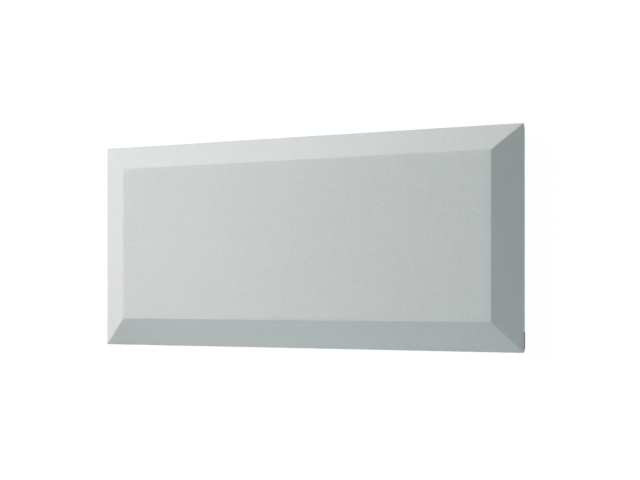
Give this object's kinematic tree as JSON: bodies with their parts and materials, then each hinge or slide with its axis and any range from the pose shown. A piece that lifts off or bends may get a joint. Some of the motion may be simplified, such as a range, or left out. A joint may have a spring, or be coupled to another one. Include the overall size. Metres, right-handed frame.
{
  "type": "acoustic wall tile",
  "caption": "Oblong upholstered acoustic wall tile with a flat front, mitred bevels on all sides, straight side walls and a small plain tag on one end.",
  "frame": {"origin": "middle of the flat back, which lies on the floor or against the wall", "axes": "+X along the tile's length, towards the end with the tag; +Y towards the edge that is uppermost on the wall; +Z out of the front face"},
  "size_m": [0.8259, 0.4, 0.07],
  "materials": {
    "cloth": "matte",
    "tag": "matte"
  },
  "bodies": {
    "root": {"upholstered_tile": "cloth", "side_tag": "tag"}
  },
  "joints": []
}
